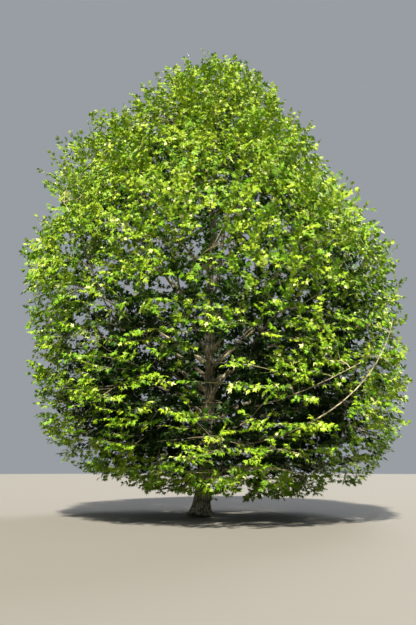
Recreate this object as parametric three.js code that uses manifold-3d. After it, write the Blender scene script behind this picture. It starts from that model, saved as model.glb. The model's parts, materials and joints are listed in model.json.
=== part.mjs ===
// A broad-crowned maple tree in spring leaf, about 17 m tall, growing in open ground.
// Millimetres, +Z up, with the origin at the middle of the flat cut under the trunk at ground level.
// -Y is the side that faces the viewer. One trunk runs up through the crown. Boughs leave it in a
// spiral and each ends where it enters its own mass of foliage, which grows on from the bough's tip.
import * as THREE from "three";
import { mergeVertices } from "three/addons/utils/BufferGeometryUtils.js";
import Module from "manifold-3d";

const wasm = await Module();
wasm.setup();

const DEGREE = Math.PI / 180;
const GOLDEN_ANGLE = 137.508 * DEGREE;
const UP = new THREE.Vector3(0, 0, 1);

// The crown's envelope
const TREE_TOP = 17000;
const CROWN_BOTTOM = 500;
const WIDEST_HEIGHT = 8900;
const WIDEST_RADIUS = 6850;
const SHOULDER = 0.8;
const TOP_ROUNDNESS = 0.5;
const LOW_TAPER = 0.1;
const LOW_ROUNDNESS = 9;
const CROWN_SHIFT = 120;
const TOP_SKEW = 800;
const TOP_SKEW_POWER = 8;
const LOW_SKEW = 900;
const LOW_SKEW_HEIGHT = 9500;
const LOBE_DEPTH = 420;
const LOBE_SPREAD = 2600;
const SHELL_DEPTH = 2300;
const LEFT_SHOULDER = { azimuth: 180 * DEGREE, z: 13200, reach: 750, spread: 1400 };

// The trunk
const TRUNK_TOP = 13600;
const TRUNK_FOOT_RADIUS = 255;
const TRUNK_TIP_RADIUS = 34;
const TRUNK_LEAN = 0.05;
const TRUNK_TAPER = 1.05;
const FLARE_RADIUS = 190;
const FLARE_HEIGHT = 300;
const FLARE_LOBES = 5;
const FLARE_LOBE_DEPTH = 0.17;
const TRUNK_SWAY = 110;
const TRUNK_SIDES = 14;
const TRUNK_STEPS = 18;

// The boughs
const BOUGH_COUNT = 29;
const BOUGH_LOWEST = 1150;
const LOWEST_MASS = 1500;
const HIGHEST_MASS = 14300;
const MASS_INSET = 1750;
const LOW_RISE = 7 * DEGREE;
const HIGH_RISE = 57 * DEGREE;
const LOW_ARCH = 20 * DEGREE;
const HIGH_ARCH = -14 * DEGREE;
const MASS_REACH_IN = 1250;
const BOUGH_SWAY = 0.07;
const BOUGH_SHARE = 0.4;
const BOUGH_THICKEST = 76;
const BOUGH_TIP_RADIUS = 27;
const COLLAR_SWELL = 0.55;
const COLLAR_LENGTH = 260;
const BOUGH_SIDES = 5;
const BOUGH_STEPS = 5;
const CLEARANCE = 0.3;

// The masses of foliage
const TOP_MASS_DROP = 1500;
const SEARCH_RADIUS = 3300;
const SEQUENCE = [[0.13, 0.8191725134], [0.29, 0.6710436067], [0.41, 0.5497004779]];
const TIPS_PER_MASS = 5;
const TIP_INSET = 250;
const TIP_SPACING = 1650;
const TIP_PULL = 0.6;
const SPRAY_LENGTH = 1800;
const SPRAY_WIDTH = 0.92;
const SPRAY_THICKNESS = 0.03;
const SPRAY_WIDEST = 0.46;
const SPRAY_THICKEST = 0.42;
const SPRAY_TILT = 0.35;
const SPRAY_ROLL = 0.9;
const SPRAY_PLACES = [[1, 0], [0.6, 62 * DEGREE], [0.42, -62 * DEGREE], [0.25, 62 * DEGREE]];
const SPRAY_SIZES = [1, 0.82, 0.64];
const SPRAY_ROLLS = [0, 0.4, -0.4, 0.8, -0.8];
const SPACE_MARGIN = 6;
const LIMB_MARGIN = 5;
const THINNEST_FACE = 0.0015;
const TIP_LIMB_CLEARANCE = 260;
const STEM_STEPS = 2;
const STEM_FORKS = [0.1, 0.4, 0.7];
const TWIG_FORKS = [0.5];
const TWIG_TIP_RADIUS = 12;
const TWIG_SHARE = 0.48;
const STEM_REACH = 500;
const TOP_STEM_REACH = 700;
const TIER_SPACING = 1000;
const TIER_PULL = 0.6;
const TIER_TOP = 6500;
const TIER_DROOP = 0.16;

// Places where the crown is thin enough to see through: on the viewer's side, and right through
const THIN_PLACES = [
  { name: "trunk window", x: 250, y: -5000, z: 4150, wide: 900, deep: 2600, keep: 0.05 },
  { name: "dark hollow", x: 1900, y: -4300, z: 2900, wide: 950, deep: 2300, keep: 0.15 },
  { name: "left gap", x: -3900, y: 0, z: 6700, wide: 850, deep: 9000, keep: 0.15 },
  { name: "right gap", x: 1250, y: 0, z: 6200, wide: 600, deep: 9000, keep: 0.15 },
  { name: "leader gaps", x: 600, y: 0, z: 10300, wide: 1500, deep: 9000, keep: 0.55 },
];

// A seeded run of numbers from 0 to 1
function seeded(seed) {
  let state = seed >>> 0;
  return () => {
    state = (state + 0x6d2b79f5) >>> 0;
    let mixed = Math.imul(state ^ (state >>> 15), 1 | state);
    mixed = (mixed + Math.imul(mixed ^ (mixed >>> 7), 61 | mixed)) ^ mixed;
    return ((mixed ^ (mixed >>> 14)) >>> 0) / 4294967296;
  };
}

const clamp = (value, low, high) => Math.min(Math.max(value, low), high);
const mix = (a, b, share) => a + (b - a) * share;
const at = (x, y, z) => new THREE.Vector3(x, y, z);

// The crown's radius at a height, before the lobes of its masses
function crownRadius(z) {
  if (z >= TREE_TOP || z <= CROWN_BOTTOM) return 0;
  if (z > WIDEST_HEIGHT) {
    const t = (z - WIDEST_HEIGHT) / (TREE_TOP - WIDEST_HEIGHT);
    return WIDEST_RADIUS * Math.pow(1 - Math.pow(t, SHOULDER), TOP_ROUNDNESS);
  }
  const t = (WIDEST_HEIGHT - z) / (WIDEST_HEIGHT - CROWN_BOTTOM);
  return WIDEST_RADIUS * (1 - LOW_TAPER * t * t) * Math.sqrt(1 - Math.pow(t, LOW_ROUNDNESS));
}

// How far the crown's middle stands to the right of the origin
function crownAxis(z) {
  const top = TOP_SKEW * Math.pow(z / TREE_TOP, TOP_SKEW_POWER);
  return CROWN_SHIFT + top + LOW_SKEW * Math.max(0, 1 - z / LOW_SKEW_HEIGHT);
}

// How deep a point lies inside the envelope, and below 0 outside it
function crownDepth(p) {
  const radius = crownRadius(p.z);
  if (radius <= 0) return -1;
  const slope = (crownRadius(p.z + 50) - crownRadius(p.z - 50)) / 100;
  const out = Math.hypot(p.x - crownAxis(p.z), p.y);
  const toShoulder = Math.cos(Math.atan2(p.y, p.x - crownAxis(p.z)) - LEFT_SHOULDER.azimuth);
  const level = Math.exp(-Math.pow((p.z - LEFT_SHOULDER.z) / LEFT_SHOULDER.spread, 2));
  const bulge = LEFT_SHOULDER.reach * level * Math.pow(Math.max(0, toShoulder), 3);
  return (radius + bulge - out) / Math.sqrt(1 + slope * slope);
}

// The trunk's centre line and radius
function trunkPoint(z) {
  const turn = (z / TRUNK_TOP) * Math.PI;
  return at(TRUNK_LEAN * z + TRUNK_SWAY * Math.sin(2 * turn), TRUNK_SWAY * Math.sin(3 * turn) * 0.8, z);
}

function trunkRadius(z) {
  const left = Math.pow(1 - z / TRUNK_TOP, TRUNK_TAPER);
  return mix(TRUNK_TIP_RADIUS, TRUNK_FOOT_RADIUS, left) + FLARE_RADIUS * Math.exp(-z / FLARE_HEIGHT);
}

// The sites of the masses: a spiral of equal shares of the envelope, and one at the top
function massSites() {
  const step = 100;
  const heights = [];
  const sums = [0];
  for (let z = LOWEST_MASS; z < HIGHEST_MASS; z += step) {
    heights.push(z);
    sums.push(sums[sums.length - 1] + crownRadius(z));
  }
  const chance = seeded(11);
  const sites = [];
  for (let k = 0; k < BOUGH_COUNT; k++) {
    const share = ((k + 0.5) / BOUGH_COUNT) * sums[sums.length - 1];
    const z = heights[sums.findIndex((sum) => sum >= share) - 1] + mix(-220, 220, chance());
    const azimuth = k * GOLDEN_ANGLE + mix(-0.12, 0.12, chance());
    const radius = crownRadius(z);
    const out = radius - Math.min(MASS_INSET, radius * 0.42);
    sites.push(at(crownAxis(z) + out * Math.cos(azimuth), out * Math.sin(azimuth), z));
  }
  sites.push(at(crownAxis(TREE_TOP) - 100, 0, TREE_TOP - TOP_MASS_DROP));
  return sites;
}

// One bough: a curve from the trunk's centre line to where it enters its mass. Low boughs leave
// level and arch over, high ones sweep up, and each sways a little to one side and back.
function boughLimb(site, index) {
  const share = clamp((site.z - LOWEST_MASS) / (HIGHEST_MASS - LOWEST_MASS), 0, 1);
  const rise = mix(LOW_RISE, HIGH_RISE, share);
  const arch = mix(LOW_ARCH, HIGH_ARCH, share);
  const outward = at(site.x - crownAxis(site.z) * 0.9, site.y, 0);
  const run = outward.length();
  outward.normalize();
  const height = clamp(site.z - run * Math.tan(rise), BOUGH_LOWEST, TRUNK_TOP - 1200);
  const start = trunkPoint(height);
  const tip = site.clone().sub(start).normalize().multiplyScalar(-MASS_REACH_IN).add(site);
  const span = tip.distanceTo(start);
  const chord = Math.atan2(tip.z - start.z, Math.hypot(tip.x - start.x, tip.y - start.y));
  const heading = at(tip.x - start.x, tip.y - start.y, 0).normalize();
  const toward = (angle) =>
    heading.clone().multiplyScalar(Math.cos(angle)).addScaledVector(UP, Math.sin(angle));
  const sideways = at(-heading.y, heading.x, 0).multiplyScalar(span * BOUGH_SWAY * (index % 2 ? 1 : -1));
  const curve = new THREE.CubicBezierCurve3(
    start,
    start.clone().addScaledVector(toward(chord + arch), span * 0.38).add(sideways),
    tip.clone().addScaledVector(toward(chord - arch * 0.8), -span * 0.36).sub(sideways),
    tip,
  );
  const thick = clamp(trunkRadius(height) * BOUGH_SHARE, BOUGH_TIP_RADIUS * 1.5, BOUGH_THICKEST);
  const collarStart = trunkRadius(height) * 0.9;
  const radiusAt = (t) => {
    const past = Math.max(0, t * span - collarStart);
    const swell = 1 + COLLAR_SWELL * Math.exp(-past / COLLAR_LENGTH);
    return mix(thick, BOUGH_TIP_RADIUS, Math.pow(t, 0.9)) * swell;
  };
  return { curve, radiusAt, tip, heading: curve.getTangent(1) };
}

// A closed tube bent along a line: pointAt and radiusAt take 0 at its foot and 1 at its tip. Its
// first corner faces away from back.
function limbGeometry(pointAt, radiusAt, sides, steps, { widen = () => 1, back = at(0, 1, 0) } = {}) {
  const geometry = new THREE.CylinderGeometry(1, 1, 1, sides, steps);
  geometry.rotateX(Math.PI / 2);
  const position = geometry.getAttribute("position");
  for (let i = 0; i < position.count; i++) {
    const t = clamp(position.getZ(i) + 0.5, 0, 1);
    const x = position.getX(i);
    const y = position.getY(i);
    const along = pointAt(Math.min(1, t + 0.01)).sub(pointAt(Math.max(0, t - 0.01))).normalize();
    const side = back.clone().cross(along).normalize();
    const across = along.clone().cross(side);
    const radius = radiusAt(t) * widen(Math.atan2(y, x), t);
    const p = pointAt(t).addScaledVector(side, x * radius).addScaledVector(across, y * radius);
    position.setXYZ(i, p.x, p.y, p.z);
  }
  return geometry;
}

// A three.js geometry as a solid, and back
function solidOf(geometry) {
  const bare = new THREE.BufferGeometry().setAttribute("position", geometry.getAttribute("position").clone());
  bare.setIndex(geometry.index);
  const merged = mergeVertices(bare, 1e-3);
  return new wasm.Manifold(
    new wasm.Mesh({
      numProp: 3,
      vertProperties: merged.attributes.position.array,
      triVerts: new Uint32Array(merged.index.array),
    }),
  );
}

function geometryOf(solid) {
  const mesh = solid.getMesh();
  return new THREE.BufferGeometry()
    .setAttribute("position", new THREE.BufferAttribute(mesh.vertProperties.slice(), 3))
    .setIndex(new THREE.BufferAttribute(mesh.triVerts.slice(), 1));
}

// The height of a solid's thinnest triangle
function thinnestFace(solid) {
  const position = geometryOf(solid).toNonIndexed().getAttribute("position");
  const corner = (i) => new THREE.Vector3().fromBufferAttribute(position, i);
  let thinnest = Infinity;
  for (let i = 0; i < position.count; i += 3) {
    const face = new THREE.Triangle(corner(i), corner(i + 1), corner(i + 2));
    const longest = Math.max(face.a.distanceTo(face.b), face.b.distanceTo(face.c), face.c.distanceTo(face.a));
    thinnest = Math.min(thinnest, (2 * face.getArea()) / longest);
  }
  return thinnest;
}

// A solid's largest body, without what a cut leaves beside it
function largestOf(solid) {
  return solid.decompose().sort((a, b) => b.volume() - a.volume())[0];
}

// The trunk from a flat cut at the ground to its tip, with a lobed root flare
function trunkGeometry(extra) {
  const spaced = (t) => TRUNK_TOP * Math.pow(t, 1.45);
  const lobes = (angle, t) => {
    const low = Math.exp(-spaced(t) / (FLARE_HEIGHT * 1.6));
    return 1 + FLARE_LOBE_DEPTH * low * Math.cos(FLARE_LOBES * angle + 0.6);
  };
  const geometry = limbGeometry(
    (t) => trunkPoint(spaced(t)),
    (t) => trunkRadius(spaced(t)) + extra,
    TRUNK_SIDES,
    TRUNK_STEPS,
    { widen: lobes },
  );
  const position = geometry.getAttribute("position");
  for (let i = 0; i < position.count; i++) {
    if (position.getZ(i) < 25) position.setZ(i, 0);
  }
  return geometry;
}

// The space of a mass: nearer its own site than any other, and inside the lobed envelope
function spaceOf(index, sites) {
  const site = sites[index];
  const inCell = (p, margin) =>
    sites.every((other, j) => {
      if (j === index) return true;
      const gap = other.clone().sub(site);
      const middle = site.clone().addScaledVector(gap, 0.5);
      return p.clone().sub(middle).dot(gap.normalize()) < -margin;
    });
  const lobe = (p) => LOBE_DEPTH * Math.pow(Math.min(1, p.distanceTo(site) / LOBE_SPREAD), 2);
  return {
    holds: (p, margin) => p.z > CROWN_BOTTOM + margin && crownDepth(p) > margin && inCell(p, margin),
    holdsTip: (p) => {
      const depth = crownDepth(p);
      return depth > TIP_INSET + lobe(p) && depth < SHELL_DEPTH && p.z > CROWN_BOTTOM + 250 && inCell(p, 150);
    },
  };
}

// The share of sprays that a point keeps: 1, or less in a thin place
function thinning(p) {
  return THIN_PLACES.reduce((keep, place) => {
    const wide = Math.hypot(p.x - place.x, p.z - place.z) / place.wide;
    const deep = Math.abs(p.y - place.y) / place.deep;
    return wide < 1 && deep < 1 ? Math.min(keep, place.keep) : keep;
  }, 1);
}

// Low foliage lies in drooping tiers
function pullToTier(p, site) {
  if (p.z > TIER_TOP) return p;
  const out = Math.hypot(p.x, p.y) - Math.hypot(site.x, site.y);
  const base = site.z - TIER_DROOP * out;
  const tier = base + Math.round((p.z - base) / TIER_SPACING) * TIER_SPACING;
  return at(p.x, p.y, mix(p.z, tier, TIER_PULL));
}

// The outward way at a point of the crown
function outwardAt(p) {
  return at(p.x - crownAxis(p.z), p.y, (p.z - WIDEST_HEIGHT * 0.75) * 0.55).normalize();
}

// The distance from a point to the nearest limb's surface
function limbDistance(p, limbs) {
  let nearest = Infinity;
  for (const samples of limbs) {
    for (const [q, radius] of samples) nearest = Math.min(nearest, p.distanceTo(q) - radius);
  }
  return nearest;
}

// The twigs of a mass. Tips come from an even sequence of points, and each grows a twig from the
// part of the mass that already stands and lies best on its way. Returns its twigs, root to tip.
function growTwigs(index, sites, foot, footHeading, footRadius, limbs) {
  const site = sites[index];
  const space = spaceOf(index, sites);
  const chance = seeded(700 + index);
  const outward = outwardAt(site);
  const nodes = [];
  const twigs = [];
  const addTwig = (from, heading, to, parent) => {
    const span = from.distanceTo(to);
    const bend = from.clone().addScaledVector(heading, span * 0.4);
    const curve = parent ? new THREE.LineCurve3(from, to) : new THREE.QuadraticBezierCurve3(from, bend, to);
    const radius = parent ? twigRadius(parent.twig, parent.t) * TWIG_SHARE : footRadius;
    const twig = { curve, parent, footRadius: radius, roll: 0.5 };
    for (const t of parent ? TWIG_FORKS : STEM_FORKS) {
      const path = (parent?.path ?? 0) + span * t;
      nodes.push({ place: curve.getPoint(t), heading: curve.getTangent(t), path, twig, t });
    }
    twigs.push(twig);
    return twig;
  };
  const stemEnd = site.clone().addScaledVector(outward, index === BOUGH_COUNT ? TOP_STEM_REACH : STEM_REACH);
  addTwig(foot, footHeading, stemEnd, null);
  let made = 0;
  for (let i = 1; made < TIPS_PER_MASS && i < TIPS_PER_MASS * 60; i++) {
    const spot = (shift, rate) => (((shift + i * rate) % 1) * 2 - 1) * SEARCH_RADIUS;
    const spots = SEQUENCE.map(([shift, rate]) => spot(shift * index, rate));
    const tip = pullToTier(at(...spots).add(site), site);
    tip.addScaledVector(outwardAt(tip), TIP_PULL * Math.max(0, crownDepth(tip) - TIP_INSET));
    const keep = chance();
    if (!space.holdsTip(tip) || keep > thinning(tip)) continue;
    const spacing = TIP_SPACING / Math.cbrt(1 + made / TIPS_PER_MASS);
    if (twigs.some((twig) => twig.curve.getPoint(1).distanceTo(tip) < spacing)) continue;
    if (limbDistance(tip, limbs) < TIP_LIMB_CLEARANCE) continue;
    let best = null;
    let least = Infinity;
    for (const node of nodes) {
      const way = tip.clone().sub(node.place);
      const span = way.length();
      if (span < 120) continue;
      const turn = way.dot(node.heading) / span;
      const cost = span * (1.6 - 0.6 * turn) + 0.45 * node.path;
      if (cost < least) {
        least = cost;
        best = node;
      }
    }
    if (!best) continue;
    const way = tip.clone().sub(best.place).normalize();
    const heading = best.heading.clone().multiplyScalar(0.7).add(way).addScaledVector(UP, 0.1).normalize();
    const twig = addTwig(best.place, heading, tip, best);
    made += 1;
    twig.roll = chance();
  }
  return twigs;
}

// One spray as a flat kite of 8 faces, from its root out along a way, facing a side
function sprayGeometry(root, way, facing, length) {
  const geometry = new THREE.OctahedronGeometry(1, 0);
  const position = geometry.getAttribute("position");
  const across = facing.clone().cross(way).normalize();
  const normal = way.clone().cross(across).normalize();
  for (let i = 0; i < position.count; i++) {
    const x = position.getX(i);
    const middle = Math.abs(position.getZ(i)) > 0.5 ? SPRAY_THICKEST : SPRAY_WIDEST;
    const along = (Math.abs(x) > 0.5 ? (x + 1) / 2 : middle) * length;
    const p = root
      .clone()
      .addScaledVector(way, along)
      .addScaledVector(across, (position.getY(i) * length * SPRAY_WIDTH) / 2)
      .addScaledVector(normal, (position.getZ(i) * length * SPRAY_THICKNESS) / 2);
    position.setXYZ(i, p.x, p.y, p.z);
  }
  return geometry;
}

// A twig's radius, which starts thinner than half of what carries it, so that its foot stays inside
function twigRadius(twig, t) {
  return mix(twig.footRadius, Math.max(twig.footRadius * 0.6, TWIG_TIP_RADIUS), t);
}

// The side that a twig's sprays face: outward and up, square to the twig, rolled a little
function twigFacing(twig) {
  const along = twig.curve.getTangent(1);
  const facing = outwardAt(twig.curve.getPoint(1)).addScaledVector(UP, SPRAY_TILT);
  facing.addScaledVector(along, -facing.dot(along)).normalize();
  return facing.applyAxisAngle(along, (twig.roll - 0.5) * SPRAY_ROLL);
}

// The spray at a place on a twig: a share along it, a turn to its side, and a try at size and roll.
// The spray at the end holds the twig's last stretch in its own middle.
function sprayOn(twig, facing, [t, turn], [size, roll]) {
  const length = SPRAY_LENGTH * size;
  const along = twig.curve.getTangent(t);
  const heading = along.clone().applyAxisAngle(facing, turn);
  const root = twig.curve.getPoint(t);
  if (t === 1) root.addScaledVector(along, -length * SPRAY_THICKEST);
  const side = facing.clone().applyAxisAngle(heading, t === 1 ? roll / 3 : roll);
  return sprayGeometry(root, heading, side, length);
}

// A mass of foliage as one solid: its twigs with sprays fused on. A twig or spray that would leave
// the space or touch a limb is skipped, and so is a spray that would cross another spray or twig.
function massSolid(index, sites, twigs, limbSolid) {
  const space = spaceOf(index, sites);
  const corners = (geometry) => {
    const position = geometry.getAttribute("position");
    const indices = Array.from({ length: position.count }, (_, i) => i);
    return indices.map((i) => new THREE.Vector3().fromBufferAttribute(position, i));
  };
  const fits = (geometry) => corners(geometry).every((p) => space.holds(p, SPACE_MARGIN));
  const misses = (solid, others) => others.every((other) => solid.intersect(other).isEmpty());
  let mass = null;
  const joined = (piece) => {
    const next = mass ? mass.add(piece) : piece;
    return thinnestFace(next) > THINNEST_FACE ? next : null;
  };
  const grown = new Map();
  for (const twig of twigs) {
    if (twig.parent && !grown.has(twig.parent.twig)) continue;
    const back = twigFacing(twig).negate();
    const steps = twig.parent ? 1 : STEM_STEPS;
    const tube = limbGeometry((t) => twig.curve.getPoint(t), (t) => twigRadius(twig, t), 3, steps, { back });
    const tubeSolid = solidOf(tube);
    const next = joined(tubeSolid);
    if (!next || (twig.parent && !(fits(tube) && misses(tubeSolid, [limbSolid])))) continue;
    mass = next;
    grown.set(twig, tubeSolid);
  }
  const sprays = [];
  const tries = SPRAY_SIZES.flatMap((size) => SPRAY_ROLLS.map((roll) => [size, roll]));
  for (const [twig] of grown) {
    const others = [limbSolid, ...[...grown].filter(([other]) => other !== twig).map(([, tube]) => tube)];
    for (const place of SPRAY_PLACES) {
      const spray = tries
        .map((attempt) => sprayOn(twig, twigFacing(twig), place, attempt))
        .filter(fits)
        .map(solidOf)
        .find((solid) => misses(solid, [...others, ...sprays]) && joined(solid));
      if (!spray) continue;
      mass = joined(spray);
      sprays.push(spray);
    }
  }
  return largestOf(mass);
}

// Materials: grey-brown bark, and the fresh green of spring leaves
const bark = new THREE.MeshStandardMaterial({ color: 0x75695a, roughness: 0.92, metalness: 0 });
const youngBark = new THREE.MeshStandardMaterial({ color: 0x8a8168, roughness: 0.88, metalness: 0 });
const springLeaf = new THREE.MeshStandardMaterial({ color: 0x7fa32b, roughness: 0.6, metalness: 0 });

const tree = new THREE.Group();

function addPiece(name, geometry, material) {
  const mesh = new THREE.Mesh(geometry, material);
  mesh.name = name;
  tree.add(mesh);
}

const sites = massSites();
const boughs = sites.slice(0, BOUGH_COUNT).map(boughLimb);

// The limbs as samples along their lines, for keeping sprays off them
const trunkSamples = Array.from({ length: 60 }, (_, i) => {
  const z = (i / 59) * TRUNK_TOP;
  return [trunkPoint(z), trunkRadius(z)];
});
const boughSamples = boughs.map((bough) =>
  Array.from({ length: 24 }, (_, i) => [bough.curve.getPoint(i / 26), bough.radiusAt(i / 26)]),
);
const limbSamples = [trunkSamples, ...boughSamples];

addPiece("trunk", geometryOf(solidOf(trunkGeometry(0))), bark);
const trunkKeepOut = solidOf(trunkGeometry(CLEARANCE));
const limbKeepOuts = [solidOf(trunkGeometry(LIMB_MARGIN))];
boughs.forEach((bough, k) => {
  const pointAt = (t) => bough.curve.getPoint(t);
  const whole = solidOf(limbGeometry(pointAt, bough.radiusAt, BOUGH_SIDES, BOUGH_STEPS));
  const cut = largestOf(whole.subtract(trunkKeepOut));
  addPiece(`bough_${String(k + 1).padStart(2, "0")}`, geometryOf(cut), youngBark);
  const wider = (t) => bough.radiusAt(t) + LIMB_MARGIN;
  limbKeepOuts.push(solidOf(limbGeometry(pointAt, wider, BOUGH_SIDES, BOUGH_STEPS)));
});
const limbSolid = limbKeepOuts.reduce((sum, limb) => sum.add(limb));

sites.forEach((site, k) => {
  const onTrunk = k === BOUGH_COUNT;
  const trunkHeading = trunkPoint(TRUNK_TOP).sub(trunkPoint(TRUNK_TOP - 300)).normalize();
  const heading = onTrunk ? trunkHeading : boughs[k].heading;
  const tip = onTrunk ? trunkPoint(TRUNK_TOP) : boughs[k].tip;
  const foot = tip.clone().addScaledVector(heading, CLEARANCE);
  const footRadius = onTrunk ? TRUNK_TIP_RADIUS : BOUGH_TIP_RADIUS;
  const twigs = growTwigs(k, sites, foot, heading, footRadius, limbSamples);
  const name = onTrunk ? "foliage_top" : `foliage_${String(k + 1).padStart(2, "0")}`;
  addPiece(name, geometryOf(massSolid(k, sites, twigs, limbSolid)), springLeaf);
});

export default tree;
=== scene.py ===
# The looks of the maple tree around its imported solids: a trunk and boughs with the relief of their
# bark, twigs grown by the source's rule and carried on to finer ones, and lobed spring leaves.
# The rule is written in millimetres, as the source has it, and every mesh is made in metres.
import json
import math

import bmesh
import bpy
import numpy as np
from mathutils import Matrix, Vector, noise

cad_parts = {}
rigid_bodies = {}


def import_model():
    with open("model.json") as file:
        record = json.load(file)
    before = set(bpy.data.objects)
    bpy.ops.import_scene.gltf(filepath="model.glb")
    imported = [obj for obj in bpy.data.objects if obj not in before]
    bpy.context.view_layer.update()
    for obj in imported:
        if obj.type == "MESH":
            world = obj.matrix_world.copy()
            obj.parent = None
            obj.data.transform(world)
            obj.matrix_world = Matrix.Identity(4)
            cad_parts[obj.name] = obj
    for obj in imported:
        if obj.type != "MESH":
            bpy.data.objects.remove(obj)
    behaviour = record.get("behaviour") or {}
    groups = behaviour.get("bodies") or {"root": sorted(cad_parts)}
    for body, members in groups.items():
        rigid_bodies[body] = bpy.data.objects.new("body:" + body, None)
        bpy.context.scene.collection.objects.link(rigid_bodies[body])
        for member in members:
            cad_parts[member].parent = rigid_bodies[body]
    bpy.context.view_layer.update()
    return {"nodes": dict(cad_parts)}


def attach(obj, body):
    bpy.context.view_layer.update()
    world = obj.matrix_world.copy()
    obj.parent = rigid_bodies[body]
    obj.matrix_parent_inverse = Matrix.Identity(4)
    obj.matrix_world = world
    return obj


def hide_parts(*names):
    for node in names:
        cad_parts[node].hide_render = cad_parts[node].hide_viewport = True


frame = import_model()

METRE = 1000.0
UP = np.array([0.0, 0.0, 1.0])
GOLDEN_ANGLE = math.radians(137.508)
SITE_SEED = 11
TWIG_SEED = 700
LEAF_SEED = 41

# The crown's envelope
TREE_TOP = 17000
CROWN_BOTTOM = 500
WIDEST_HEIGHT = 8900
WIDEST_RADIUS = 6850
SHOULDER = 0.8
TOP_ROUNDNESS = 0.5
LOW_TAPER = 0.1
LOW_ROUNDNESS = 9
CROWN_SHIFT = 120
TOP_SKEW = 800
TOP_SKEW_POWER = 8
LOW_SKEW = 900
LOW_SKEW_HEIGHT = 9500
LOBE_DEPTH = 420
LOBE_SPREAD = 2600
SHELL_DEPTH = 2300
SLOPE_STEP = 50
LEFT_SHOULDER = {"azimuth": math.pi, "z": 13200, "reach": 750, "spread": 1400}

# The outward way is level at this height, and leans up above it and down below it by this share
OUTWARD_LEVEL = 0.75 * WIDEST_HEIGHT
OUTWARD_LEAN = 0.55

# The trunk
TRUNK_TOP = 13600
TRUNK_FOOT_RADIUS = 255
TRUNK_TIP_RADIUS = 34
TRUNK_TIP_LENGTH = 300
TRUNK_LEAN = 0.05
TRUNK_TAPER = 1.05
FLARE_RADIUS = 190
FLARE_HEIGHT = 300
FLARE_LOBES = 5
FLARE_LOBE_DEPTH = 0.17
FLARE_LOBE_TURN = 0.6
FLARE_LOBE_FALL = 1.6
FLAT_CUT_UNDER = 12
TRUNK_SWAY = 110
TRUNK_SIDE_SWAY = 0.8

# The boughs, and the sites of the masses that they lead to
BOUGH_COUNT = 29
BOUGH_LOWEST = 1150
BOUGH_HIGHEST = TRUNK_TOP - 1200
LOWEST_MASS = 1500
HIGHEST_MASS = 14300
SITE_STEP = 100
MASS_INSET = 1750
MOST_INSET_SHARE = 0.42
SITE_HEIGHT_PLAY = 220
SITE_TURN_PLAY = 0.12
TOP_SITE_SHIFT = 100
LOW_RISE = math.radians(7)
HIGH_RISE = math.radians(57)
LOW_ARCH = math.radians(20)
HIGH_ARCH = math.radians(-14)
MASS_REACH_IN = 1250
BOUGH_SWAY = 0.07
FOOT_HANDLE = 0.38
TIP_HANDLE = 0.36
TIP_ARCH = 0.8
BOUGH_SHARE = 0.4
BOUGH_THICKEST = 76
BOUGH_TIP_RADIUS = 27
BOUGH_THINNEST = 1.5 * BOUGH_TIP_RADIUS
BOUGH_TAPER = 0.9
BOUGH_FOOT_INSIDE = 0.5
COLLAR_START = 0.9
COLLAR_SWELL = 0.55
COLLAR_LENGTH = 260
RUN_AXIS_SHARE = 0.9

# The lines that tips keep clear of: how many points the trunk's has, and for a bough's and a seen
# limb's how many shares it is cut in, and how many points from its foot count
TRUNK_POINTS = 60
BOUGH_POINTS = (26, 24)
SEEN_POINTS = (25, 20)

# The masses of foliage
TOP_MASS_DROP = 1500
SEARCH_RADIUS = 3300
SEQUENCE = [(0.13, 0.8191725134), (0.29, 0.6710436067), (0.41, 0.5497004779)]
TIPS_PER_MASS = 5
TIP_INSET = 250
TIP_SPACING = 1650
TIP_PULL = 0.6
SPRAY_TILT = 0.35
SPRAY_ROLL = 0.9
TIP_LIMB_CLEARANCE = 260
STEM_FORKS = (0.1, 0.4, 0.7)
TWIG_FORKS = (0.5,)
SHORTEST_TWIG = 120
TURN_COST = 0.6
PATH_COST = 0.45
FORK_KEEPS_WAY = 0.7
TWIG_LIFT = 0.1
STEM_REACH = 500
TOP_STEM_REACH = 700
TIER_SPACING = 1000
TIER_PULL = 0.6
TIER_TOP = 6500
TIER_DROOP = 0.16

# Places where the crown is thin enough to see through: x, y, z, how wide, how deep, what is kept
THIN_PLACES = [
    (250, -5000, 4150, 900, 2600, 0.05),
    (1900, -4300, 2900, 950, 2300, 0.15),
    (-3900, 0, 6700, 850, 9000, 0.15),
    (1250, 0, 6200, 600, 9000, 0.15),
    (600, 0, 10300, 1500, 9000, 0.55),
]

# Where the photograph's eye is taken to be
EYE = np.array([260, -21000, 1600])

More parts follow.
